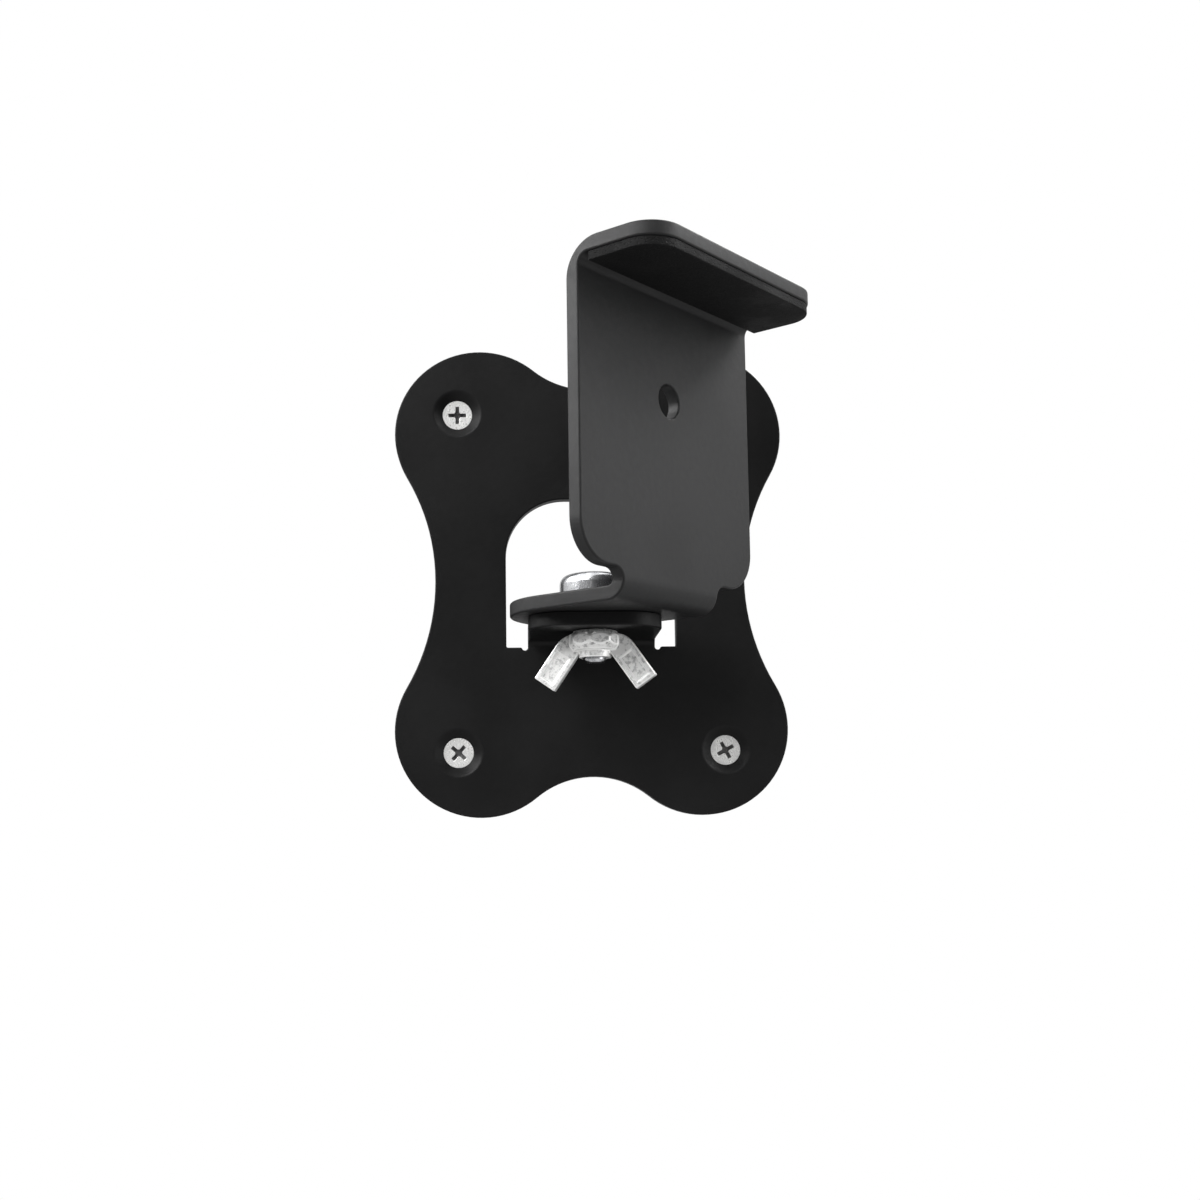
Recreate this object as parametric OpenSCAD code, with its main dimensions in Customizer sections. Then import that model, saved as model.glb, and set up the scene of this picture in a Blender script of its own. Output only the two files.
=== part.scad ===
// Speaker wall bracket: a folded wall plate, and a swivelling arm clamped to its tab.
// The origin is the middle of the wall plate's rear face, +Y goes into the wall, +Z is up.
// All lengths are in millimetres.

/* [Sheet steel] */
// Thickness of the sheet that the wall plate and the arm are cut from
sheet_t = 3.2; // [2.6:0.1:3.8]
// Inner radius of the bends at the tab and at the arm's lug
bend_r = 1.5; // [1:0.25:2.5]

/* [Wall plate] */
// Radius of the four round corner lobes
lobe_r = 20; // [18:0.5:22]
// Distance between the lobe centres, across the plate
lobe_span_w = 51.2; // [48:0.2:58]
// Distance between the lobe centres, up the plate
lobe_span_h = 70; // [66:1:80]
// Radius of the hollow in each long edge
side_waist_r = 50; // [42:1:60]
// Radius of the hollow in the top and bottom edges
end_waist_r = 20.5; // [16:0.5:26]
// Width of the arched window
window_w = 39.6; // [37:0.2:43]
// Height of the window's top above the plate's middle
window_rise = 19.3; // [17:0.1:22]
// Radius of the window's two upper corners
window_corner_r = 13.7; // [8:0.1:16]

/* [Tab] */
// Width of the tab that is folded forward out of the window
tab_w = 29.6; // [27:0.2:31]
// Distance from the wall to the tab's front edge
tab_reach = 29.4; // [28:0.2:34]
// Depth of the tab's upper face below the plate's middle
tab_drop = 11; // [9:0.5:13]
// Radius of the tab's two front corners
tab_corner_r = 8.5; // [4:0.5:10]
// Width of the round-ended relief slot on each side of the tab's bend
relief_w = 1.4; // [1.2:0.1:2.4]

/* [Wall screws] */
// Distance between the screws, across the plate
screw_span_w = 62; // [58:1:66]
// Distance between the screws, up the plate
screw_span_h = 80; // [76:1:84]
// Shank diameter of a wall screw
screw_d = 3.5; // [3:0.1:4]
// Head diameter of a wall screw
screw_head_d = 7; // [6:0.1:8]
// Length of a wall screw, from its head's face to its tip
screw_len = 25; // [20:1:40]
// Length of the plain shank between the head and the thread
screw_plain_len = 7; // [5:0.5:10]
// Distance between two turns of a wall screw's thread
screw_pitch = 1.8; // [1.4:0.1:2.2]
// Depth of the screw's thread
screw_thread_depth = 0.55; // [0.3:0.05:0.7]
// Length of the screw's point
screw_tip_len = 4; // [3:0.5:6]
// Width across the cross recess in the screw's head
recess_span = 4.3; // [3.6:0.1:4.6]
// Width of one slot of the cross recess
recess_w = 0.85; // [0.6:0.05:1.1]
// Depth of the cross recess
recess_depth = 1.4; // [1:0.1:1.6]
// Outer diameter of the countersink in the plate's face
countersink_d = 11; // [9.5:0.1:12]
// Full angle of the countersink and of the cone under the screw's head, in degrees
countersink_angle = 100; // [98:1:110]
// Clearance between a screw's head and its countersink, along the screw
screw_seat_gap = 0.03; // [0.01:0.01:0.05]
// Diameter of the plate's through hole for a wall screw
screw_hole_d = 5; // [4.4:0.1:5.6]

/* [Arm] */
// Distance from the wall to the bolt that the arm swivels on
pivot_reach = 20; // [20:0.2:22]
// Turn of the arm to the right of straight ahead, in degrees
arm_angle = 48.5; // [-50:0.5:50]
// Width of the arm's upright plate and of its flange
arm_w = 62; // [58:1:64]
// Height of the arm, from the lug's underside to the flange's top
arm_h = 72.5; // [66:0.5:90]
// Distance from the bolt to the face that the speaker stands against
arm_offset = 21.6; // [19:0.1:25]
// Width of the neck and of the lug below it
neck_w = 34; // [30:1:36]
// Height of the shoulders above the lug's underside
shoulder_h = 6.4; // [5.6:0.1:12]
// Radius of the arm's two lower corners
shoulder_r = 9; // [5:0.5:10]
// Radius of the inside corners between the shoulders and the neck
neck_fillet_r = 2.8; // [1:0.1:3.5]
// Distance from the bolt to the lug's rounded end
lug_reach = 19.5; // [18.6:0.1:19.6]
// Distance from the arm's face to the flange's free edge
flange_depth = 20.3; // [16:0.1:26]
// Inner radius of the bend between the upright plate and the flange
flange_bend_r = 2.5; // [1:0.25:4]
// Outer radius of that bend, which the press flattens into a wide curve
flange_round_r = 8; // [6:0.5:9]
// Radius of the flange's two free corners
flange_corner_r = 7.5; // [4:0.5:10]
// Diameter of the arm's round hole for the speaker's screw
arm_hole_d = 7.4; // [5:0.1:9]
// Height of that hole's centre above the lug's underside
arm_hole_h = 45; // [30:1:55]

/* [Pad] */
// Thickness of the rubber pad under the flange
pad_t = 2; // [1:0.1:4]
// Distance that the pad stays inside the flange's edges
pad_inset = 0.3; // [0:0.1:1]

/* [Carriage bolt] */
// Diameter of the bolt's shank over its thread
bolt_d = 5.9; // [5.5:0.1:6.4]
// Length of the bolt below its head
bolt_len = 13.5; // [13:0.1:15]
// Diameter of the bolt's domed head
bolt_head_d = 15.5; // [14:0.5:18]
// Height of the bolt's domed head
bolt_head_h = 6.7; // [6.5:0.1:7.4]
// Height of the upright rim at the foot of the dome
bolt_rim_h = 3.9; // [3.2:0.1:4]
// Radius of the round shoulder between the rim and the crown
bolt_shoulder_r = 2.3; // [2.3:0.1:2.8]
// Radius of the ball that the head's crown is a slice of
bolt_crown_r = 25; // [20:1:40]
// Radius of the rim's lower edge
bolt_edge_r = 1; // [0.4:0.1:1.4]
// Chamfer at the bolt's free end
bolt_chamfer = 0.7; // [0.4:0.1:1]
// Side of the square neck that keeps the bolt from turning
bolt_neck_w = 6.3; // [6:0.1:6.8]
// Clearance between the square neck and its hole, on each side
neck_gap = 0.15; // [0.1:0.05:0.3]
// Clearance between the shank and the tab's round hole, on each side
shank_gap = 0.3; // [0.2:0.05:0.5]

/* [Wing nut] */
// Distance between the tips of the two wings
wing_span = 27.4; // [24:0.2:29]
// Width of a wing's blade
wing_w = 5.4; // [4:0.1:6]
// Thickness of a wing's blade
wing_t = 2.2; // [1.6:0.1:2.8]
// Lean of a wing away from the bolt, in degrees
wing_lean = 35; // [30:1:40]
// Height of the wing nut, from its seat to the wings' tips
wing_nut_h = 13.2; // [12.6:0.1:14.6]
// Radius of the outer bend where a wing leaves the hub
wing_shoulder_r = 5; // [3:0.5:6]
// Turn of the wings away from the plate's own direction, in degrees
wing_turn = -14; // [-90:1:90]
// Drop of the wings' upper edges below the nut's seat
wing_drop = 0.6; // [0.3:0.1:1]
// Width of the raised rim round the sunk panel of a wing
panel_rim = 1.1; // [0.8:0.1:1.6]
// Length of the sunk panel
panel_len = 6.6; // [4:0.1:8]
// Depth of the sunk panel
panel_depth = 0.3; // [0.1:0.05:0.5]
// Height of the hub's wide part, which has the flats
hub_h = 4.3; // [3.6:0.1:5]
// Diameter over the corners between the hub's flats
hub_d = 11.8; // [10.8:0.2:12.4]
// Number of flats round the hub
hub_flats = 8; // [6:1:12]
// Diameter of the hub's seat, inside the cone that cuts the flats' corners
hub_seat_d = 9.6; // [9:0.1:10.4]
// Height of that cone
hub_cone_h = 1.7; // [1:0.1:2]
// Diameter of the collar below the flats
collar_d = 7.2; // [7:0.1:8]
// Height of the collar
collar_h = 1.7; // [1:0.1:2]
// Running clearance between the bolt and the nut, on each side
thread_gap = 0.05; // [0.03:0.01:0.1]
// Clearance between the nut's seat and the tab
seat_gap = 0.1; // [0.05:0.05:0.2]

/* [Hidden] */
$fn = 96;
// A cut runs this far past the surface that it opens
over = 1;
plate_grey = "#26272a";
arm_grey = "#45474b";
rubber_black = "#161616";
chrome = "#c9cbcf";
zinc = "#d3d4d2";
// Heights of the sheets that meet at the joint
tab_top_z = -tab_drop;
tab_bottom_z = tab_top_z - sheet_t;
bend_line_z = tab_bottom_z - bend_r;
lug_top_z = tab_top_z + sheet_t;
flange_top_z = tab_top_z + arm_h;
flange_under_z = flange_top_z - sheet_t;
shoulder_z = tab_top_z + shoulder_h;
nut_seat_z = tab_bottom_z - seat_gap;
// Distances of the arm's faces from the bolt, measured away from the wall
arm_back = arm_offset - sheet_t;
flange_edge = arm_offset + flange_depth;
pad_start = arm_offset + flange_bend_r;
// The bolt's square neck stops inside the lug
neck_stop = 0.2;
bolt_neck_h = sheet_t - neck_stop;
// Height of a countersink's cone between two diameters
function cone_h(wide_d, narrow_d) = (wide_d - narrow_d) / 2 / tan(countersink_angle / 2);
countersink_depth = cone_h(countersink_d, screw_hole_d);
screw_cone_h = cone_h(screw_head_d, screw_d);
// A countersunk head sinks until its cone meets the plate's own
screw_head_y = cone_h(countersink_d, screw_head_d) - screw_seat_gap - sheet_t;

// A ring's quarter, between the positive axes, for a bend of the sheet
module bend_quarter() {
    intersection() {
        difference() {
            circle(bend_r + sheet_t);
            circle(bend_r);
        }
        square(bend_r + sheet_t + over);
    }
}

// A rectangle with its two corners on the low Y side rounded
module round_front(w, near_y, far_y, r) {
    translate([-w / 2, near_y + r]) square([w, far_y - near_y - r]);
    translate([-w / 2 + r, near_y]) square([w - 2 * r, r + over / 10]);
    for (side = [-1, 1]) translate([side * (w / 2 - r), near_y + r]) circle(r);
}

// Places its children at the four wall screws, with Y as the screw's own axis
module at_screw(side_x, side_z) {
    translate([side_x * screw_span_w / 2, 0, side_z * screw_span_h / 2]) children();
}

// Turns a profile drawn as (distance into the wall, height) into a bar along X
module bar_along_x(width) {
    translate([-width / 2, 0, 0]) rotate([90, 0, 90]) linear_extrude(width) children();
}

// Turns an outline drawn as (across, height) into a slab from the wall forward
module slab_forward(depth) {
    rotate([90, 0, 0]) linear_extrude(depth) children();
}

// The wall plate's outer edge: four lobes joined by hollow waists
function toward(a, b, d) = a + d * (b - a) / norm(b - a);
side_waist_x = lobe_span_w / 2
    + sqrt(pow(lobe_r + side_waist_r, 2) - pow(lobe_span_h / 2, 2));
end_waist_z = lobe_span_h / 2
    + sqrt(pow(lobe_r + end_waist_r, 2) - pow(lobe_span_w / 2, 2));

module plate_outline() {
    lobe = [lobe_span_w / 2, lobe_span_h / 2];
    side_touch = toward(lobe, [side_waist_x, 0], lobe_r);
    end_touch = toward(lobe, [0, end_waist_z], lobe_r);
    for (sx = [-1, 1], sz = [-1, 1])
        translate([sx * lobe[0], sz * lobe[1]]) circle(lobe_r, $fn = 180);
    difference() {
        polygon([side_touch, lobe, end_touch,
            [-end_touch[0], end_touch[1]], [-lobe[0], lobe[1]], [-side_touch[0], side_touch[1]],
            -side_touch, -lobe, -end_touch,
            [end_touch[0], -end_touch[1]], [lobe[0], -lobe[1]], [side_touch[0], -side_touch[1]]]);
        for (s = [-1, 1]) {
            translate([s * side_waist_x, 0]) circle(side_waist_r, $fn = 360);
            translate([0, s * end_waist_z]) circle(end_waist_r, $fn = 180);
        }
    }
}

// The arched window, with its floor at the tab's bend line
module window_outline() {
    corner_z = window_rise - window_corner_r;
    corner_x = window_w / 2 - window_corner_r;
    translate([-window_w / 2, bend_line_z]) square([window_w, corner_z - bend_line_z]);
    translate([-corner_x, bend_line_z]) square([2 * corner_x, window_rise - bend_line_z]);
    for (side = [-1, 1]) translate([side * corner_x, corner_z]) circle(window_corner_r);
}

// The two round-ended slots that let the tab bend cleanly
module relief_outline() {
    for (side = [-1, 1]) translate([side * (tab_w + relief_w) / 2, bend_line_z]) {
        circle(relief_w / 2);
        translate([-relief_w / 2, 0]) square([relief_w, over]);
    }
}

// The tab and its bend, seen from the side
module tab_profile() {
    translate([-sheet_t - bend_r, bend_line_z]) bend_quarter();
    translate([-tab_reach, tab_bottom_z]) square([tab_reach - sheet_t - bend_r, sheet_t]);
}

module countersunk_hole() {
    rotate([90, 0, 0]) {
        translate([0, 0, -over]) cylinder(d = screw_hole_d, h = sheet_t + 2 * over);
        translate([0, 0, sheet_t - countersink_depth]) cylinder(d1 = screw_hole_d,
            d2 = countersink_d + 2 * over * tan(countersink_angle / 2),
            h = countersink_depth + over);
    }
}

module wall_plate() {
    color(plate_grey) difference() {
        union() {
            slab_forward(sheet_t) difference() {
                plate_outline();
                window_outline();
                relief_outline();
            }
            intersection() {
                bar_along_x(tab_w) tab_profile();
                translate([0, 0, bend_line_z - over]) linear_extrude(sheet_t + bend_r + 2 * over)
                    round_front(tab_w, -tab_reach, over, tab_corner_r);
            }
        }
        for (sx = [-1, 1], sz = [-1, 1]) at_screw(sx, sz) countersunk_hole();
        translate([0, -pivot_reach, tab_bottom_z - over])
            cylinder(d = bolt_d + 2 * shank_gap, h = sheet_t + 2 * over);
    }
}

// Puts what is drawn around the bolt's axis, facing straight ahead, where the arm is
module with_arm() {
    translate([0, -pivot_reach, 0]) rotate([0, 0, arm_angle]) children();
}

// The folded sheet from the side: lug, bend, upright plate, bend, flange
module arm_profile() {
    translate([-arm_back + bend_r, tab_top_z]) square([arm_back - bend_r + lug_reach, sheet_t]);
    translate([-arm_back + bend_r, lug_top_z + bend_r]) rotate(180) bend_quarter();
    difference() {
        union() {
            translate([-arm_offset, lug_top_z + bend_r])
                square([sheet_t, flange_top_z - lug_top_z - bend_r]);
            translate([-flange_edge, flange_under_z]) square([flange_edge - arm_back, sheet_t]);
            translate([-pad_start, flange_under_z - flange_bend_r]) difference() {
                square(flange_bend_r + over / 10);
                circle(flange_bend_r);
            }
        }
        translate([-arm_back - flange_round_r, flange_top_z - flange_round_r]) difference() {
            square(flange_round_r + over);
            circle(flange_round_r);
        }
    }
}

// The blank's edge from the front: narrow neck, round shoulders, wide plate
module arm_front_outline() {
    translate([-neck_w / 2, tab_top_z - over]) square([neck_w, shoulder_h + shoulder_r + over]);
    translate([-arm_w / 2, shoulder_z + shoulder_r])
        square([arm_w, flange_top_z - shoulder_z - shoulder_r + over]);
    translate([-arm_w / 2 + shoulder_r, shoulder_z]) square([arm_w - 2 * shoulder_r, shoulder_r]);
    for (side = [0, 1]) mirror([side, 0, 0]) {
        translate([arm_w / 2 - shoulder_r, shoulder_z + shoulder_r]) circle(shoulder_r);
        translate([neck_w / 2, shoulder_z - neck_fillet_r]) difference() {
            square(neck_fillet_r);
            translate([neck_fillet_r, 0]) circle(neck_fillet_r);
        }
    }
}

// The blank's edge from above: round-ended lug behind, round-cornered flange in front
module arm_plan_outline() {
    lug_r = neck_w / 2;
    translate([0, lug_reach - lug_r]) circle(lug_r);
    translate([-lug_r, -arm_offset]) square([neck_w, arm_offset + lug_reach - lug_r]);
    round_front(arm_w, -flange_edge, bend_r - arm_back, flange_corner_r);
}

module arm() {
    color(arm_grey) with_arm() difference() {
        intersection() {
            bar_along_x(arm_w + 2 * over) arm_profile();
            translate([0, lug_reach + over, 0]) slab_forward(lug_reach + flange_edge + 2 * over)
                arm_front_outline();
            translate([0, 0, tab_top_z - over]) linear_extrude(arm_h + 2 * over)
                arm_plan_outline();
        }
        translate([0, -arm_back + over, tab_top_z + arm_hole_h]) rotate([90, 0, 0])
            cylinder(d = arm_hole_d, h = sheet_t + 2 * over);
        translate([0, 0, tab_top_z + sheet_t / 2])
            cube([bolt_neck_w + 2 * neck_gap, bolt_neck_w + 2 * neck_gap, sheet_t + 2 * over],
                center = true);
    }
}

module rubber_pad() {
    color(rubber_black) with_arm() translate([0, 0, flange_under_z - pad_t]) linear_extrude(pad_t)
        round_front(arm_w - 2 * pad_inset, pad_inset - flange_edge, -pad_start,
            flange_corner_r - pad_inset);
}

// A ring of round section, whose outer side lies on the head's rim
module rim_ring(r) {
    rotate_extrude() translate([bolt_head_d / 2 - r, 0]) circle(r);
}

// The head: an upright rim with a round foot and shoulder, under a crown cut from a ball
module bolt_head() {
    intersection() {
        union() {
            translate([0, 0, bolt_edge_r])
                cylinder(d = bolt_head_d, h = bolt_rim_h - bolt_edge_r);
            translate([0, 0, bolt_edge_r]) rim_ring(bolt_edge_r);
            translate([0, 0, bolt_rim_h]) rim_ring(bolt_shoulder_r);
            cylinder(d = bolt_head_d - 2 * bolt_edge_r, h = bolt_rim_h);
            cylinder(d = bolt_head_d - 2 * bolt_shoulder_r, h = bolt_head_h);
        }
        translate([0, 0, bolt_head_h - bolt_crown_r]) sphere(bolt_crown_r);
    }
}

module carriage_bolt() {
    color(chrome) with_arm() translate([0, 0, lug_top_z]) {
        bolt_head();
        translate([0, 0, -bolt_neck_h / 2])
            cube([bolt_neck_w, bolt_neck_w, bolt_neck_h + over / 10], center = true);
        translate([0, 0, bolt_chamfer - bolt_len])
            cylinder(d = bolt_d, h = bolt_len - bolt_chamfer);
        translate([0, 0, -bolt_len])
            cylinder(d1 = bolt_d - 2 * bolt_chamfer, d2 = bolt_d, h = bolt_chamfer);
    }
}

// Points of an arc around a centre, from one angle to another
function arc(c, r, from, to, steps) =
    [for (i = [0:steps]) c + r * [cos(from + (to - from) * i / steps),
        sin(from + (to - from) * i / steps)]];

// One wing from the front: heights are taken down from the nut's seat
module wing_outline() {
    along = [sin(wing_lean), -cos(wing_lean)];
    across = [-cos(wing_lean), -sin(wing_lean)];
    outer_tip = [wing_span / 2, wing_w * sin(wing_lean) - wing_nut_h];
    inner_tip = outer_tip + wing_w * across;
    bend_z = -wing_drop - wing_shoulder_r;
    bend_x = outer_tip[0] - wing_shoulder_r / cos(wing_lean)
        + (outer_tip[1] - bend_z) * tan(wing_lean);
    root_z = wing_drop / 2 - hub_h;
    root_x = inner_tip[0] + (inner_tip[1] - root_z) * tan(wing_lean);
    polygon(concat([[0, root_z], [0, -wing_drop]],
        arc([bend_x, bend_z], wing_shoulder_r, 90, wing_lean, 8),
        [outer_tip, inner_tip, [root_x, root_z]]));
}

// The sunk panel on each face of a wing, inside a raised rim
module wing_panel() {
    tip = [wing_span / 2, wing_w * sin(wing_lean) - wing_nut_h];
    translate(tip) rotate(wing_lean) translate([-wing_w + panel_rim, panel_rim])
        square([wing_w - 2 * panel_rim, panel_len]);
}

module wing_nut() {
    color(zinc) translate([0, -pivot_reach, nut_seat_z]) rotate([0, 0, wing_turn]) difference() {
        union() {
            intersection() {
                translate([0, 0, -hub_h]) cylinder(d = hub_d, h = hub_h, $fn = hub_flats);
                union() {
                    translate([0, 0, -hub_cone_h])
                        cylinder(d1 = hub_d, d2 = hub_seat_d, h = hub_cone_h);
                    translate([0, 0, hub_cone_h - hub_h])
                        cylinder(d = hub_d, h = hub_h - 2 * hub_cone_h);
                    translate([0, 0, -hub_h])
                        cylinder(d1 = hub_seat_d, d2 = hub_d, h = hub_cone_h);
                }
            }
            translate([0, 0, -hub_h - collar_h]) cylinder(d = collar_d, h = hub_h);
            for (side = [0, 1]) mirror([side, 0, 0]) difference() {
                translate([0, wing_t / 2, 0]) slab_forward(wing_t) wing_outline();
                for (face = [-1, 1])
                    translate([0, wing_t / 2 + face * (wing_t - panel_depth), 0])
                        slab_forward(wing_t) wing_panel();
            }
        }
        translate([0, 0, -hub_h - collar_h - over])
            cylinder(d = bolt_d + 2 * thread_gap, h = hub_h + collar_h + 2 * over);
    }
}

// The cross-shaped recess in a screw's head: two slots that narrow with depth
module cross_recess() {
    for (turn = [0, 90]) rotate([0, 0, turn])
        translate([0, recess_w / 2, 0]) rotate([90, 0, 0]) linear_extrude(recess_w)
            polygon([[-recess_span / 2, -over], [recess_span / 2, -over],
                [recess_span / 2, 0], [recess_w, recess_depth],
                [-recess_w, recess_depth], [-recess_span / 2, 0]]);
    cylinder(d1 = 2 * recess_w, d2 = recess_w, h = recess_depth);
}

// A wood screw along +Z, its head's face at zero
module screw_body() {
    root_r = screw_d / 2 - screw_thread_depth;
    thread_z = screw_cone_h + screw_plain_len + screw_thread_depth;
    point_z = screw_len - screw_tip_len;
    turns = floor((point_z - thread_z) / screw_pitch);
    flank = screw_pitch / 3;
    rotate_extrude($fn = 48) polygon(concat(
        [[0, 0], [screw_head_d / 2, 0], [screw_d / 2, screw_cone_h],
            [screw_d / 2, thread_z - screw_thread_depth], [root_r, thread_z]],
        [for (i = [0:turns - 1], step = [1:3])
            [step == 2 ? screw_d / 2 : root_r, thread_z + i * screw_pitch + step * flank]],
        [[root_r, point_z], [0, screw_len]]));
}

module wall_screw(side_x, side_z, recess_turn) {
    color(zinc) at_screw(side_x, side_z) translate([0, screw_head_y, 0]) rotate([-90, 0, 0])
        difference() {
            screw_body();
            rotate([0, 0, recess_turn]) cross_recess();
        }
}

module wall_screw_top_left() {
    wall_screw(-1, 1, 0);
}

module wall_screw_top_right() {
    wall_screw(1, 1, 12);
}

module wall_screw_bottom_left() {
    wall_screw(-1, -1, 42);
}

module wall_screw_bottom_right() {
    wall_screw(1, -1, 62);
}

wall_plate();
arm();
rubber_pad();
carriage_bolt();
wing_nut();
wall_screw_top_left();
wall_screw_top_right();
wall_screw_bottom_left();
wall_screw_bottom_right();
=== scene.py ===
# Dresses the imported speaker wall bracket: a folded wall plate screwed to the wall, and an arm
# that swivels on its tab, clamped by a carriage bolt and a wing nut.
# Metres, +X right, +Y into the wall, +Z up, the origin in the middle of the plate's rear face.
import bpy
import bmesh
from math import asin, cos, pi, radians
from mathutils import Matrix, Vector
from mathutils.bvhtree import BVHTree


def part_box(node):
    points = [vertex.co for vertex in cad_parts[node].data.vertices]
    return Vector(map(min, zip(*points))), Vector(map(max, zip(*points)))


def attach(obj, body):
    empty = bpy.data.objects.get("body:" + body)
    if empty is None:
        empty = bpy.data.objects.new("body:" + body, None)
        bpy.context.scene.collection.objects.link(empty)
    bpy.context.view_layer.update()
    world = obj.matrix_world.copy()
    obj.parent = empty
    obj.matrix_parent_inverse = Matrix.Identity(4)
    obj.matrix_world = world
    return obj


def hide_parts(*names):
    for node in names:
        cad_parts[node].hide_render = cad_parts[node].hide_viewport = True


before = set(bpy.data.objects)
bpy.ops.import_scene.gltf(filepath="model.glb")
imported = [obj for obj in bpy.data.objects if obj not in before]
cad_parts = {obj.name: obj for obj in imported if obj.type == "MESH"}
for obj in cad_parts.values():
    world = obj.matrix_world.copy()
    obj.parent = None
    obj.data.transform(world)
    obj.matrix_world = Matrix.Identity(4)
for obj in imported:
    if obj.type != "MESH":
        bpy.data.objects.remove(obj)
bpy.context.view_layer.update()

# Wall plate. One piece of 3.2 mm steel: cut to four lobes round an arched window, its tab
# folded forward, the screw holes countersunk, and then powder coated satin black, which
# leaves every cut edge softly rounded.
PLATE_EDGE = 0.00035
PLATE_BLACK = (0.0048, 0.0048, 0.0049)
PLATE_WORN = (0.0070, 0.0070, 0.0072)
COAT_LIGHTER, COAT_RELIEF = 1.35, 0.00006
PEEL_PER_METRE, GRAIN_PER_METRE, CLOUDS_PER_METRE = 620.0, 5200.0, 48.0
NIBS_PER_METRE, NIB_FIELDS_PER_METRE = 900.0, 210.0
NIB_SPAN, NIB_FIELD_SPAN, CLOUD_SPAN = (0.10, 0.02), (0.62, 0.68), (0.35, 0.65)
# Share of the edge colour on rounded edges: thinner coat on the plate, painted shade on the
# arm.
EDGE_WEAR_AND_SHADE_SPAN, EDGE_WEAR_AND_SHADE_SHARES = (0.40, 0.62), (0.15, 0.55)
MERGE_WITHIN, SAME_POINT = 1e-6, 1e-7
FLAT_WITHIN = radians(0.3)
FACE_MARK = "face_mark"


def copy_of_solid(node):
    """The CAD node's loose triangles merged into one closed shape with whole flat faces."""
    shape = bmesh.new()
    shape.from_mesh(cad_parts[node].data)
    bmesh.ops.remove_doubles(shape, verts=shape.verts, dist=MERGE_WITHIN)
    bmesh.ops.dissolve_limit(shape, angle_limit=FLAT_WITHIN, verts=shape.verts,
                             edges=shape.edges)
    return shape


def soften_edges(shape, radius, segments=3, sharper_than=30):
    """Rounds the edges that turn more than so many degrees, and marks the new faces.

    A finish can then look different there. Where two nearly parallel edges meet, the rounding
    can throw a corner far off the solid: such a corner goes back to its nearest neighbour.
    """
    mark = shape.faces.layers.float.new(FACE_MARK)
    sharp = [e for e in shape.edges
             if e.is_manifold and e.calc_face_angle() > radians(sharper_than)]
    solid = BVHTree.FromBMesh(shape)
    rounded = bmesh.ops.bevel(shape, geom=sharp, offset=radius, offset_type="OFFSET",
                              segments=segments, profile=0.5, affect="EDGES",
                              clamp_overlap=False, material=-1)
    for face in rounded["faces"]:
        face[mark] = 1.0
    strays = [v for v in shape.verts if solid.find_nearest(v.co)[3] > radius]
    for stray in strays:
        near = min((e.other_vert(stray) for e in stray.link_edges),
                   key=lambda v: (v.co - stray.co).length)
        stray.co = near.co
    bmesh.ops.remove_doubles(shape, verts=shape.verts, dist=SAME_POINT)
    bmesh.ops.dissolve_degenerate(shape, dist=SAME_POINT, edges=shape.edges)
    return shape


def finish_piece(name, shape, material, body, node):
    """Makes the piece, gives it its finish, and seats it on its body in the solid's place."""
    bmesh.ops.recalc_face_normals(shape, faces=shape.faces)
    mesh = bpy.data.meshes.new(name)
    shape.to_mesh(mesh)
    shape.free()
    mesh.shade_smooth()
    mesh.materials.append(material)
    piece = bpy.data.objects.new(name, mesh)
    bpy.context.scene.collection.objects.link(piece)
    flat = piece.modifiers.new("flat faces stay flat", "WEIGHTED_NORMAL")
    flat.keep_sharp = False
    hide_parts(node)
    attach(piece, body)
    return piece


def effect_group(name, inputs, outputs):
    """An empty shader group with float inputs and their usual values, and float outputs."""
    group = bpy.data.node_groups.new(name, "ShaderNodeTree")
    for label, value in inputs:
        group.interface.new_socket(label, in_out="INPUT",
                                   socket_type="NodeSocketFloat").default_value = value
    for label in outputs:
        group.interface.new_socket(label, in_out="OUTPUT", socket_type="NodeSocketFloat")
    return group, group.nodes.new("NodeGroupInput"), group.nodes.new("NodeGroupOutput")


def use_effect(tree, group, inputs=()):
    """Places a shader group in a material with its own values, and gives its outputs."""
    node = tree.nodes.new("ShaderNodeGroup")
    node.node_tree = group
    for label, value in inputs:
        node.inputs[label].default_value = value
    return node.outputs


def own_place(tree):
    """Where a point lies on the piece, in metres."""
    return tree.nodes.new("ShaderNodeTexCoord").outputs["Object"]


def marked_faces(tree):
    """How strongly the piece marks its faces: rounded edges, a recess or a shank."""
    node = tree.nodes.new("ShaderNodeAttribute")
    node.attribute_name = FACE_MARK
    return node.outputs["Fac"]


def set_or_link(tree, socket, value):
    """Sets the socket to a number, or feeds it from another socket."""
    if isinstance(value, float):
        socket.default_value = value
    else:
        tree.links.new(value, socket)


def combine(tree, operation, a, b):
    """A Math node over two sockets, or a socket and a number."""
    node = tree.nodes.new("ShaderNodeMath")
    node.operation = operation
    set_or_link(tree, node.inputs[0], a)
    set_or_link(tree, node.inputs[1], b)
    return node.outputs[0]


def weigh(tree, *parts):
    """The sum of several values, each times its share."""
    weighed = [combine(tree, "MULTIPLY", value, share) for value, share in parts]
    total = weighed[0]
    for part in weighed[1:]:
        total = combine(tree, "ADD", total, part)
    return total


def ramp(tree, value, span, onto=(0.0, 1.0)):
    """Carries a value smoothly from its span onto another, or onto none to whole."""
    node = tree.nodes.new("ShaderNodeMapRange")
    node.interpolation_type = "SMOOTHSTEP"
    for label, number in zip(("From Min", "From Max", "To Min", "To Max"), (*span, *onto)):
        node.inputs[label].default_value = number
    tree.links.new(value, node.inputs["Value"])
    return node.outputs["Result"]


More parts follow.
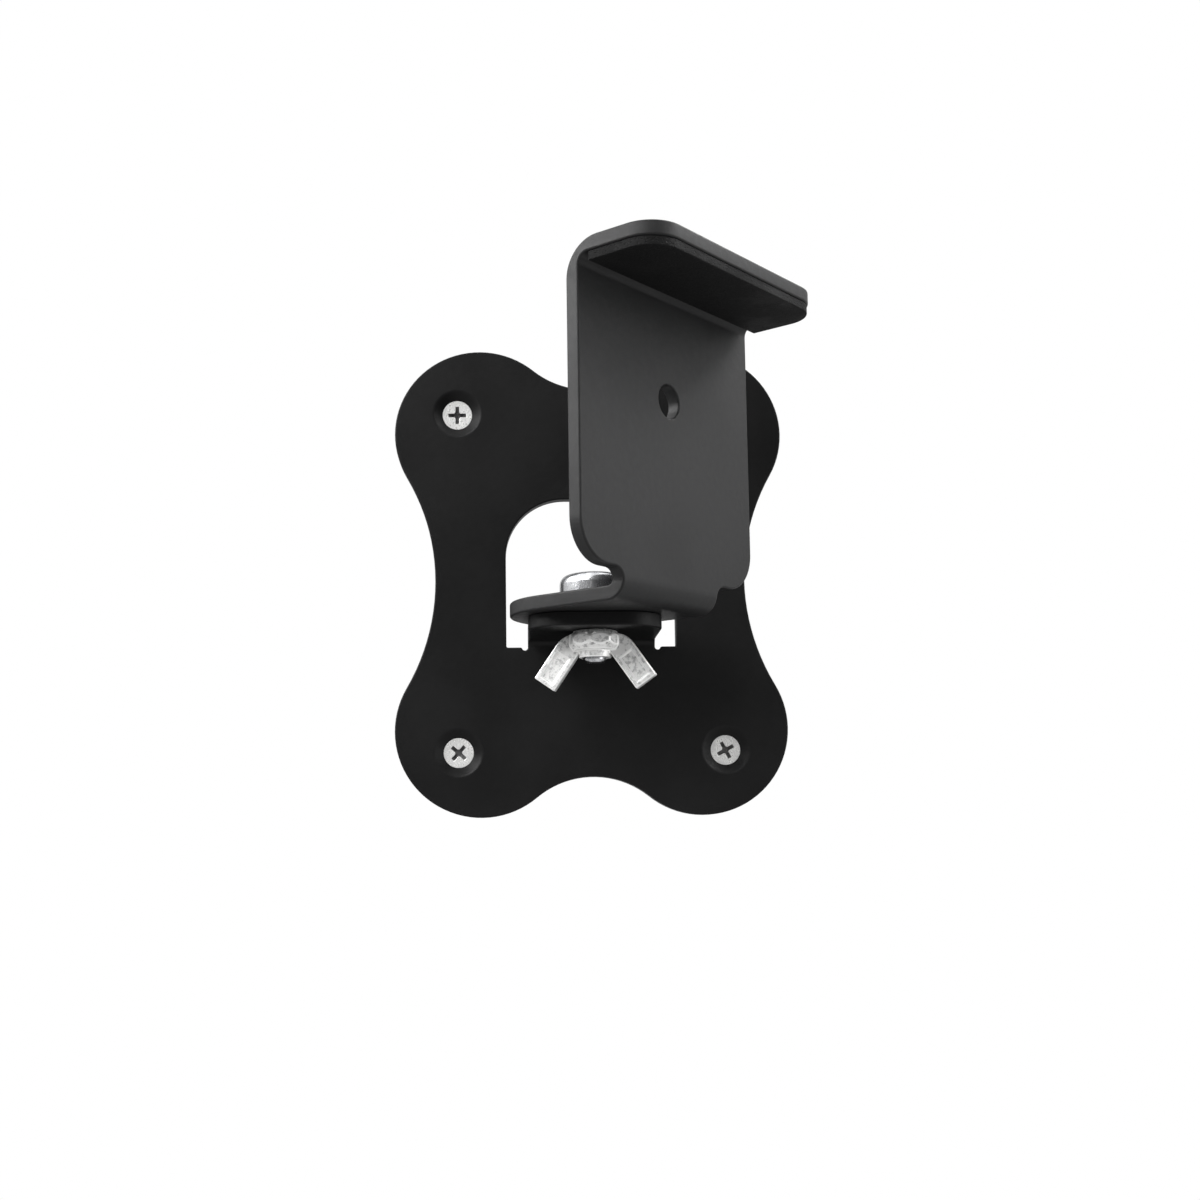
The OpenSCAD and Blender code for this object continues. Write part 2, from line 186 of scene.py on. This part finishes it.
def noise(tree, place, per_metre, detail=2.0, rough=0.5):
    """Noise of that many grains to the metre."""
    node = tree.nodes.new("ShaderNodeTexNoise")
    tree.links.new(place, node.inputs["Vector"])
    node.inputs["Detail"].default_value = detail
    node.inputs["Roughness"].default_value = rough
    set_or_link(tree, node.inputs["Scale"], per_metre)
    return node.outputs["Fac"]


def cells(tree, place, per_metre):
    """How far a point is from the middle of its cell, with that many cells to the metre."""
    node = tree.nodes.new("ShaderNodeTexVoronoi")
    node.inputs["Scale"].default_value = per_metre
    tree.links.new(place, node.inputs["Vector"])
    return node.outputs["Distance"]


def powder_texture():
    """A baked powder coat: long orange peel, fine grain, and a few dust nibs."""
    group, given, made = effect_group(
        "powder coat texture",
        (("Peel per metre", PEEL_PER_METRE), ("Grain per metre", GRAIN_PER_METRE)),
        ("Height", "Tone", "Gloss"))
    place = own_place(group)
    peel = noise(group, place, given.outputs["Peel per metre"], detail=1.5)
    grain = noise(group, place, given.outputs["Grain per metre"], detail=3.0, rough=0.6)
    cloud = noise(group, place, CLOUDS_PER_METRE, detail=3.0)
    nib = ramp(group, cells(group, place, NIBS_PER_METRE), NIB_SPAN)
    field = noise(group, place, NIB_FIELDS_PER_METRE, detail=0.0)
    nib = combine(group, "MULTIPLY", nib, ramp(group, field, NIB_FIELD_SPAN))
    for label, parts in (("Height", ((peel, 0.62), (grain, 0.38), (nib, 0.25))),
                         ("Tone", ((cloud, 0.55), (grain, 0.45))),
                         ("Gloss", ((cloud, 0.7), (peel, 0.3)))):
        group.links.new(weigh(group, *parts), made.inputs[label])
    return group


POWDER_TEXTURE = powder_texture()


def blank_material(name, metallic=0.0, specular=0.5):
    """A Principled material with its plain sockets set, its node tree and its shader."""
    material = bpy.data.materials.new(name)
    material.use_nodes = True
    tree = material.node_tree
    shader = tree.nodes["Principled BSDF"]
    shader.inputs["Metallic"].default_value = metallic
    shader.inputs["Specular IOR Level"].default_value = specular
    return material, tree, shader


def blend_colours(tree, share, base, over):
    """The base colour, with that share of the other colour over it."""
    node = tree.nodes.new("ShaderNodeMix")
    node.data_type = "RGBA"
    tree.links.new(share, node.inputs["Factor"])
    for place, colour in (("A", base), ("B", over)):
        socket = next(s for s in node.inputs if s.name == place and s.type == "RGBA")
        if isinstance(colour, tuple):
            socket.default_value = (*colour, 1.0)
        else:
            tree.links.new(colour, socket)
    return next(s for s in node.outputs if s.type == "RGBA")


def roughen(tree, shader, height, depth):
    """Feeds a height of that depth in metres to the shader's normal."""
    bump = tree.nodes.new("ShaderNodeBump")
    bump.inputs["Distance"].default_value = depth
    tree.links.new(height, bump.inputs["Height"])
    tree.links.new(bump.outputs["Normal"], shader.inputs["Normal"])


def powder_coat(name, colour, edge_colour, smooth, rough, specular):
    """Satin powder coat over steel, a little cloudy, with its own colour on rounded edges: a
    thinner coat on the plate, painted shade on the arm.
    """
    material, tree, shader = blank_material(name, specular=specular)
    coat = use_effect(tree, POWDER_TEXTURE)
    lighter = tuple(COAT_LIGHTER * c for c in colour)
    clouded = blend_colours(tree, ramp(tree, coat["Tone"], CLOUD_SPAN), colour, lighter)
    # Rounded edges take the edge colour: worn thin coat on the plate, painted shade on the arm.
    edge_wear_and_shade = combine(tree, "MULTIPLY", marked_faces(tree),
                   ramp(tree, coat["Gloss"], EDGE_WEAR_AND_SHADE_SPAN, onto=EDGE_WEAR_AND_SHADE_SHARES))
    tree.links.new(blend_colours(tree, edge_wear_and_shade, clouded, edge_colour),
                   shader.inputs["Base Color"])
    tree.links.new(ramp(tree, coat["Gloss"], CLOUD_SPAN, onto=(smooth, rough)),
                   shader.inputs["Roughness"])
    roughen(tree, shader, coat["Height"], COAT_RELIEF)
    return material


finish_piece("wall_plate_coated", soften_edges(copy_of_solid("wall_plate"), PLATE_EDGE),
             powder_coat("satin black powder coat", PLATE_BLACK, PLATE_WORN,
                         smooth=0.42, rough=0.52, specular=0.15),
             "plate_body", "wall_plate")

# Wall screws. Four 3.5 x 25 mm countersunk screws of bright zinc-plated steel, driven through
# the plate's holes into the wall: a pressed cross recess, a plain shank, a rolled thread and
# a sharp point. Every depth is measured from the head's face.
SCREW_ZINC = (0.92, 0.92, 0.90)
SCREW_DULL = (0.74, 0.74, 0.73)
# Painted shade for the cross recess; a share of it makes the shank a duller zinc.
RECESS_SHADE_AND_SHANK_DULL = (0.030, 0.030, 0.030)
SCREW_R, SCREW_CORE_R = 0.00175, 0.00120
SCREW_LENGTH, SCREW_POINT, SCREW_PITCH = 0.025, 0.004, 0.0018
SCREW_PLAIN_END, CORE_OVERLAP, RIDGE_OVERLAP = 0.0084, 0.0002, 0.0006
SCREW_EDGE, SCREW_RIDGE_W, SCREW_STEPS = 0.00008, 0.0009, 28
RECESS_R, RECESS_DEPTH = 0.0022, 0.0016
HEAD_DEPTH, SHANK_MARK = 0.0020, 0.45
RIDGE_ROOT, CREST_FROM, CREST_TO = 0.00012, 0.42, 0.58
PATCHES_PER_METRE, SCRATCHES_PER_METRE, PITS_PER_METRE = 900.0, 2600.0, 1700.0
SCRATCH_TURN, SCRATCH_STRETCH = (0.5, 0.3, 0.9), (1.0, 0.06, 0.25)
SCRATCH_SPAN, PIT_SPAN, PITTED_SPAN = (0.58, 0.72), (0.16, 0.05), (0.50, 0.62)
DULL_SPAN, WEAR_SPAN = (0.42, 0.60), (0.35, 0.85)
PIT_DULLNESS, MARK_STRENGTH = 0.6, 0.85


def plated_texture():
    """Bright plating: cloudy crystal patches, fine handling scratches and small pits."""
    group, given, made = effect_group(
        "plated metal texture",
        (("Patches per metre", PATCHES_PER_METRE),
         ("Scratches per metre", SCRATCHES_PER_METRE)),
        ("Patch", "Scratch", "Pit"))
    place = own_place(group)
    patch = noise(group, place, given.outputs["Patches per metre"], detail=4.0, rough=0.65)
    drawn = group.nodes.new("ShaderNodeMapping")
    drawn.inputs["Rotation"].default_value = SCRATCH_TURN
    drawn.inputs["Scale"].default_value = SCRATCH_STRETCH
    group.links.new(place, drawn.inputs["Vector"])
    lines = noise(group, drawn.outputs["Vector"], given.outputs["Scratches per metre"])
    pit = ramp(group, cells(group, place, PITS_PER_METRE), PIT_SPAN)
    group.links.new(patch, made.inputs["Patch"])
    group.links.new(ramp(group, lines, SCRATCH_SPAN), made.inputs["Scratch"])
    group.links.new(pit, made.inputs["Pit"])
    return group


PLATED_TEXTURE = plated_texture()


def plated_metal(name, bright, dull, smooth, rough, relief, patches, scratches,
                 metallic=1.0, marked_colour=None, dull_span=DULL_SPAN):
    """Plated metal that clouds between two colours, with its own size of patch and relief.

    A third colour can go on the faces that the piece marks.
    """
    material, tree, shader = blank_material(name, metallic)
    plating = use_effect(tree, PLATED_TEXTURE, (("Patches per metre", patches),
                                                ("Scratches per metre", scratches)))
    patch, scratch = plating["Patch"], plating["Scratch"]
    clouded = blend_colours(tree, ramp(tree, patch, dull_span), bright, dull)
    pitted = combine(tree, "MULTIPLY", plating["Pit"], ramp(tree, patch, PITTED_SPAN))
    pit_shade = combine(tree, "MULTIPLY", pitted, PIT_DULLNESS)
    colour = blend_colours(tree, pit_shade, clouded, dull)
    if marked_colour:
        marked = combine(tree, "MULTIPLY", marked_faces(tree), MARK_STRENGTH)
        colour = blend_colours(tree, marked, colour, marked_colour)
    tree.links.new(colour, shader.inputs["Base Color"])
    wear = weigh(tree, (scratch, 0.35), (patch, 1.0))
    tree.links.new(ramp(tree, wear, WEAR_SPAN, onto=(smooth, rough)),
                   shader.inputs["Roughness"])
    roughen(tree, shader, weigh(tree, (patch, 1.0), (pitted, -0.5), (scratch, -0.12)), relief)
    return material


def draw_to(shape, vertex, x, z):
    """A straight line of a lathe profile, to a radius and a height."""
    end = shape.verts.new((x, 0, z))
    shape.edges.new((vertex, end))
    return end


def turn_on_lathe(shape, steps):
    """Turns the drawn profile round the Z axis into a closed shape."""
    bmesh.ops.spin(shape, geom=[*shape.verts, *shape.edges], cent=(0, 0, 0), axis=(0, 0, 1),
                   dvec=(0, 0, 0), angle=2 * pi, steps=steps, use_merge=True,
                   use_duplicate=False)
    bmesh.ops.remove_doubles(shape, verts=shape.verts, dist=SAME_POINT)


def wind_thread(shape, core_r, crest_r, width, pitch, start, turns, steps):
    """Sweeps a ridge up the Z axis in a helix, so many steps a turn, and gives its vertices."""
    corners = [shape.verts.new((core_r - RIDGE_ROOT, 0, start)),
               shape.verts.new((crest_r, 0, start + CREST_FROM * width)),
               shape.verts.new((crest_r, 0, start + CREST_TO * width)),
               shape.verts.new((core_r - RIDGE_ROOT, 0, start + width))]
    before = set(shape.verts) - set(corners)
    ridge = shape.faces.new(corners)
    bmesh.ops.spin(shape, geom=[ridge, *ridge.edges, *ridge.verts], cent=(0, 0, 0),
                   axis=(0, 0, 1), dvec=(0, 0, pitch / steps), angle=2 * pi * turns,
                   steps=int(steps * turns), use_duplicate=False)
    return [v for v in shape.verts if v not in before]


def screw_head(node, top):
    """The solid's own head and plain shank, cut off where the thread starts.

    The recess is marked to take painted shade, and the shank a share of that dark colour as a
    duller tone of its own.
    """
    shape = copy_of_solid(node)
    cut = bmesh.ops.bisect_plane(
        shape, geom=[*shape.verts, *shape.edges, *shape.faces], dist=SAME_POINT,
        plane_co=(0, top.y + SCREW_PLAIN_END, 0), plane_no=(0, 1, 0), clear_outer=True)
    rim = [e for e in cut["geom_cut"] if isinstance(e, bmesh.types.BMEdge)]
    bmesh.ops.contextual_create(shape, geom=rim)
    soften_edges(shape, SCREW_EDGE, segments=2, sharper_than=35)
    mark = shape.faces.layers.float[FACE_MARK]
    for face in shape.faces:
        middle = face.calc_center_median() - top
        aside = Vector((middle.x, 0, middle.z)).length
        in_recess = SCREW_EDGE < middle.y < RECESS_DEPTH and aside < RECESS_R
        face[mark] = 1.0 if in_recess else SHANK_MARK * (middle.y > HEAD_DEPTH)
    return shape


def screw_thread():
    """A core with a sharp point, and a ridge that rises out of the shank and ends on the point.

    It is drawn up the Z axis, with the head's face at zero, and marked as the shank is.
    """
    thread = bmesh.new()
    mark = thread.faces.layers.float.new(FACE_MARK)
    inside = thread.verts.new((0, 0, SCREW_PLAIN_END - CORE_OVERLAP))
    core_top = draw_to(thread, inside, SCREW_CORE_R, SCREW_PLAIN_END - CORE_OVERLAP)
    core_end = draw_to(thread, core_top, SCREW_CORE_R, SCREW_LENGTH - SCREW_POINT)
    draw_to(thread, core_end, 0, SCREW_LENGTH)
    turn_on_lathe(thread, SCREW_STEPS)
    start = SCREW_PLAIN_END - RIDGE_OVERLAP
    turns = (SCREW_LENGTH - SCREW_RIDGE_W - start) / SCREW_PITCH
    for v in wind_thread(thread, SCREW_CORE_R, SCREW_R, SCREW_RIDGE_W, SCREW_PITCH, start,
                         turns, SCREW_STEPS):
        rise = min(1.0, max(0.0, (v.co.z - start) / SCREW_PITCH))
        taper = min(1.0, max(0.0, (SCREW_LENGTH - v.co.z) / SCREW_POINT))
        reach = Vector((v.co.x, v.co.y, 0)).length
        wanted = taper * min(reach, SCREW_CORE_R + (SCREW_R - SCREW_CORE_R) * rise)
        v.co.x, v.co.y = v.co.x * wanted / reach, v.co.y * wanted / reach
    for face in thread.faces:
        face[mark] = SHANK_MARK
    return thread


def wall_screw(node):
    """One screw: the solid's own head and plain shank, with a real thread and point."""
    low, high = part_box(node)
    top = Vector(((low.x + high.x) / 2, low.y, (low.z + high.z) / 2))
    shape = screw_head(node, top)
    thread = screw_thread()
    into_wall = Matrix.Translation(top) @ Matrix.Rotation(radians(-90), 4, "X")
    bmesh.ops.transform(thread, matrix=into_wall, verts=thread.verts)
    carrier = bpy.data.meshes.new("thread")
    thread.to_mesh(carrier)
    thread.free()
    shape.from_mesh(carrier)
    bpy.data.meshes.remove(carrier)
    return shape


# The marked colour is painted shade in the recess and a duller tone on the shank.
screw_finish = plated_metal("bright zinc, screws", SCREW_ZINC, SCREW_DULL, smooth=0.26,
                            rough=0.42, relief=0.00001, patches=1500.0,
                            scratches=SCRATCHES_PER_METRE, metallic=0.45,
                            marked_colour=RECESS_SHADE_AND_SHANK_DULL)
for corner in ("top_left", "top_right", "bottom_left", "bottom_right"):
    finish_piece("screw_" + corner, wall_screw("wall_screw_" + corner), screw_finish,
                 "plate_body", "wall_screw_" + corner)

# Arm. A second piece of the same steel, folded twice into a Z: the lug that turns on the bolt,
# the upright plate that the speaker's back is screwed to, and the flange over its top.
# It has the same satin black coat, painted a little greyer as a painted sheen for the light its
# face catches, and darker along its rounded edges as painted shade.
ARM_EDGE = 0.00045
# The arm's coat colour: the plate's black painted lighter, a painted sheen.
ARM_PAINTED_SHEEN_GREY = (0.0120, 0.0120, 0.0123)
# The arm's edge colour: painted shade along its rounded edges.
ARM_EDGE_PAINTED_SHADE = (0.0050, 0.0050, 0.0051)
finish_piece("arm_coated", soften_edges(copy_of_solid("arm"), ARM_EDGE),
             powder_coat("satin dark grey powder coat", ARM_PAINTED_SHEEN_GREY, ARM_EDGE_PAINTED_SHADE,
                         smooth=0.42, rough=0.54, specular=0.22),
             "arm_body", "arm")

# Pad. A 2 mm sheet of black rubber, cut just inside the flange's edge and glued under it.
# Its cut edges are soft, and its free face swells a little towards the middle, in steps that
# each have a width and a rise.
RUBBER_BLACK = (0.0024, 0.0024, 0.0025)
RUBBER_DUSTY = (0.0056, 0.0056, 0.0056)
PORES_PER_METRE, CRUMBS_PER_METRE, SMEARS_PER_METRE = 1900.0, 3200.0, 130.0
PORE_SPAN, SMEAR_SPAN, DUST_SPAN = (0.12, 0.45), (0.35, 0.65), (0.46, 0.66)
RUBBER_ROUGH, RUBBER_RELIEF = (0.66, 0.82), 0.00008
PAD_EDGE = 0.00025
CROWN_STEPS = ((0.0012, 0.00006), (0.0020, 0.00005), (0.0030, 0.00003))
FACING_DOWN = -0.99


def black_rubber():
    """Matt rubber with fine pores, and a little dust that clings to it in smears."""
    material, tree, shader = blank_material("matt black rubber", specular=0.15)
    place = own_place(tree)
    skin = ramp(tree, cells(tree, place, PORES_PER_METRE), PORE_SPAN)
    crumbs = noise(tree, place, CRUMBS_PER_METRE, detail=3.0, rough=0.6)
    smear = noise(tree, place, SMEARS_PER_METRE, detail=4.0, rough=0.6)
    dust = combine(tree, "MULTIPLY", ramp(tree, smear, DUST_SPAN), crumbs)
    tree.links.new(blend_colours(tree, dust, RUBBER_BLACK, RUBBER_DUSTY),
                   shader.inputs["Base Color"])
    tree.links.new(ramp(tree, smear, SMEAR_SPAN, onto=RUBBER_ROUGH),
                   shader.inputs["Roughness"])
    roughen(tree, shader, weigh(tree, (skin, 1.0), (crumbs, 0.6)), RUBBER_RELIEF)
    return material


pad_shape = soften_edges(copy_of_solid("rubber_pad"), PAD_EDGE, segments=4)
free_face = max((f for f in pad_shape.faces if f.normal.z < FACING_DOWN),
                key=lambda f: f.calc_area())
for width, rise in CROWN_STEPS:
    bmesh.ops.inset_region(pad_shape, faces=[free_face], thickness=width, depth=rise,
                           use_even_offset=True)
pad = finish_piece("rubber_pad_soft", pad_shape, black_rubber(), "arm_body",
                   "rubber_pad")

# Carriage bolt. An M6 bolt, bright nickel plated: a domed head with a rolled rim, a square
# neck that locks it in the arm's lug, and a rolled thread below the tab, with a chamfered end.
# Its heights are measured from the top of the lug, where the head sits.
BOLT_NICKEL = (0.66, 0.665, 0.68)
BOLT_SHADE = (0.44, 0.445, 0.46)
ARM_TURN = radians(48.5)
BOLT_SEAT = Vector((0.0, -0.020, -0.0078))
HEAD_R, HEAD_H, HEAD_FOOT_R = 0.00775, 0.0067, 0.001
HEAD_SHOULDER_R, HEAD_CROWN_R = 0.0023, 0.025
NECK_W, NECK_DEPTH, NECK_ROOT = 0.0063, 0.003, 0.0005
BOLT_R, BOLT_CORE_R, BOLT_LENGTH, BOLT_PITCH = 0.00295, 0.00242, 0.0135, 0.001
BOLT_CHAMFER, BOLT_END_R = 0.0007, 0.00202
BOLT_RIDGE_W, BOLT_RIDGE_LIFT, BOLT_TURNS = 0.00092, 0.0003, 9
DOME_STEPS, FOOT_STEPS, ROUND_STEPS, BOLT_THREAD_STEPS = 12, 6, 96, 48


def draw_arc(shape, vertex, x, z, angle, steps):
    """An arc of a lathe profile round a centre, and its last point."""
    swung = bmesh.ops.spin(shape, geom=[vertex], cent=(x, 0, z), axis=(0, 1, 0),
                           dvec=(0, 0, 0), angle=angle, steps=steps, use_duplicate=False)
    return next(v for v in swung["geom_last"] if isinstance(v, bmesh.types.BMVert))


def domed_bolt():
    """Head, core and end turned in one up the Z axis, then the square neck and the thread."""
    bolt = bmesh.new()
    shoulder_x = HEAD_R - HEAD_SHOULDER_R
    crown_slope = asin(shoulder_x / (HEAD_CROWN_R - HEAD_SHOULDER_R))
    shoulder_z = HEAD_H - HEAD_CROWN_R + (HEAD_CROWN_R - HEAD_SHOULDER_R) * cos(crown_slope)
    crown = bolt.verts.new((0, 0, HEAD_H))
    crown_end = draw_arc(bolt, crown, 0, HEAD_H - HEAD_CROWN_R, crown_slope, DOME_STEPS)
    rim_top = draw_arc(bolt, crown_end, shoulder_x, shoulder_z, pi / 2 - crown_slope,
                       DOME_STEPS)
    rim_foot = draw_to(bolt, rim_top, HEAD_R, HEAD_FOOT_R)
    under = draw_arc(bolt, rim_foot, HEAD_R - HEAD_FOOT_R, HEAD_FOOT_R, pi / 2, FOOT_STEPS)
    core_top = draw_to(bolt, under, BOLT_CORE_R, 0)
    core_end = draw_to(bolt, core_top, BOLT_CORE_R, BOLT_CHAMFER - BOLT_LENGTH)
    end_rim = draw_to(bolt, core_end, BOLT_END_R, -BOLT_LENGTH)
    draw_to(bolt, end_rim, 0, -BOLT_LENGTH)
    turn_on_lathe(bolt, ROUND_STEPS)
    neck_height = NECK_DEPTH + NECK_ROOT
    bmesh.ops.create_cube(bolt, size=1.0,
                          matrix=Matrix.Translation((0, 0, NECK_ROOT - neck_height / 2))
                          @ Matrix.Diagonal((NECK_W, NECK_W, neck_height, 1)))
    wind_thread(bolt, BOLT_CORE_R, BOLT_R, BOLT_RIDGE_W, BOLT_PITCH,
                BOLT_RIDGE_LIFT - BOLT_LENGTH, BOLT_TURNS, BOLT_THREAD_STEPS)
    return bolt


bolt_shape = domed_bolt()
bmesh.ops.transform(bolt_shape, verts=bolt_shape.verts,
                    matrix=Matrix.Translation(BOLT_SEAT) @ Matrix.Rotation(ARM_TURN, 4, "Z"))
finish_piece("carriage_bolt_plated", bolt_shape,
             plated_metal("bright nickel, bolt", BOLT_NICKEL, BOLT_SHADE, smooth=0.20,
                          rough=0.32, relief=0.000002, patches=500.0, scratches=3800.0),
             "arm_body", "carriage_bolt")

# Wing nut. A die-cast M6 wing nut, zinc coloured and tumbled bright: a hub with eight flats
# between two cones, a round collar below it, and two leaning wings with a sunk panel on each
# face. Turned up the bolt by hand, it clamps the lug on the tab.
NUT_EDGE = 0.00027
NUT_ZINC = (0.80, 0.80, 0.79)
NUT_SHADE = (0.40, 0.40, 0.40)
NUT_WORN = (0.96, 0.96, 0.95)
finish_piece("wing_nut_cast",
             soften_edges(copy_of_solid("wing_nut"), NUT_EDGE, sharper_than=22),
             plated_metal("tumbled zinc, wing nut", NUT_ZINC, NUT_SHADE, smooth=0.34,
                          rough=0.52, relief=0.00007, patches=1000.0, scratches=2200.0,
                          metallic=0.55, marked_colour=NUT_WORN, dull_span=(0.46, 0.66)),
             "nut_body", "wing_nut")

# Studio. A floor and a sky that are plain white to the camera and dimmer in what the gloss
# mirrors, the sky most of all towards the camera. Soft lights stand at the right, high right,
# above, at the left and beside the camera, each with a place, a size in metres and a power.
FLOOR_Z, FLOOR_HALF, FLOOR_LIGHT = -0.22, 1.6, 0.72
TOWARDS_WALL, SKY_LIGHT = (-0.35, 0.70), (0.24, 0.75)
LIT_POINT = Vector((0.0, -0.02, 0.01))
SOFTBOXES = (("right softbox", (0.75, -0.30, 0.10), (0.7, 0.9), 4.4),
             ("high right softbox", (0.62, 0.08, 0.60), (0.5, 0.3), 6.5),
             ("top softbox", (-0.05, -0.15, 0.80), (1.4, 1.1), 6.0),
             ("left softbox", (-0.68, -0.12, 0.42), (0.7, 0.5), 8.5),
             ("key softbox", (-0.42, -0.55, 0.45), (0.3, 0.3), 4.2))


def camera_ray(tree):
    """One for what the camera sees itself, zero for what the gloss mirrors."""
    return tree.nodes.new("ShaderNodeLightPath").outputs["Is Camera Ray"]


stage_white = bpy.data.materials.new("studio white")
stage_white.use_nodes = True
white_tree = stage_white.node_tree
white_tree.nodes.remove(white_tree.nodes["Principled BSDF"])
glow = white_tree.nodes.new("ShaderNodeEmission")
white_tree.links.new(combine(white_tree, "MAXIMUM", camera_ray(white_tree), FLOOR_LIGHT),
                     glow.inputs["Strength"])
white_tree.links.new(glow.outputs[0], white_tree.nodes["Material Output"].inputs["Surface"])
floor_shape = bmesh.new()
bmesh.ops.create_grid(floor_shape, x_segments=1, y_segments=1, size=FLOOR_HALF,
                      matrix=Matrix.Translation((0, 0, FLOOR_Z)))
floor_mesh = bpy.data.meshes.new("studio_floor")
floor_shape.to_mesh(floor_mesh)
floor_shape.free()
floor_mesh.materials.append(stage_white)
floor = bpy.data.objects.new("studio_floor", floor_mesh)
bpy.context.scene.collection.objects.link(floor)

world = bpy.data.worlds.new("studio")
bpy.context.scene.world = world
world.use_nodes = True
sky = world.node_tree
background = sky.nodes["Background"]
background.inputs["Color"].default_value = (1, 1, 1, 1)
direction = sky.nodes.new("ShaderNodeSeparateXYZ")
sky.links.new(sky.nodes.new("ShaderNodeTexCoord").outputs["Generated"], direction.inputs[0])
around = ramp(sky, direction.outputs["Y"], TOWARDS_WALL, onto=SKY_LIGHT)
sky.links.new(combine(sky, "MAXIMUM", camera_ray(sky), around),
              background.inputs["Strength"])

for name, place, size, power in SOFTBOXES:
    light = bpy.data.lights.new(name, "AREA")
    light.shape = "RECTANGLE"
    light.size, light.size_y = size
    light.energy = power
    holder = bpy.data.objects.new(name, light)
    bpy.context.scene.collection.objects.link(holder)
    holder.location = place
    holder.rotation_mode = "QUATERNION"
    holder.rotation_quaternion = (LIT_POINT - Vector(place)).to_track_quat("-Z", "Y")

# Camera. It stands where the photograph's did, found from about 90 measured points. Its
# angles are in degrees: turned about the upright, tipped up from level, and rolled.
CAMERA_PLACE = (-0.016917, -0.362, -0.059739)
CAMERA_YAW, CAMERA_PITCH, CAMERA_ROLL = -3.005, 6.4973, -0.831
SENSOR_MM, LENS_MM, SHIFT_UP = 36.0, 46.612, 0.05
CLIP_NEAR, CLIP_FAR = 0.01, 10.0
lens = bpy.data.cameras.new("photograph")
lens.sensor_width = SENSOR_MM
lens.lens = LENS_MM
lens.shift_y = SHIFT_UP
lens.clip_start, lens.clip_end = CLIP_NEAR, CLIP_FAR
camera = bpy.data.objects.new("photograph", lens)
bpy.context.scene.collection.objects.link(camera)
camera.matrix_world = (Matrix.Translation(CAMERA_PLACE)
                       @ Matrix.Rotation(radians(CAMERA_YAW), 4, "Z")
                       @ Matrix.Rotation(radians(90 + CAMERA_PITCH), 4, "X")
                       @ Matrix.Rotation(radians(CAMERA_ROLL), 4, "Z"))
bpy.context.scene.camera = camera
bpy.context.scene.view_settings.view_transform = "Standard"
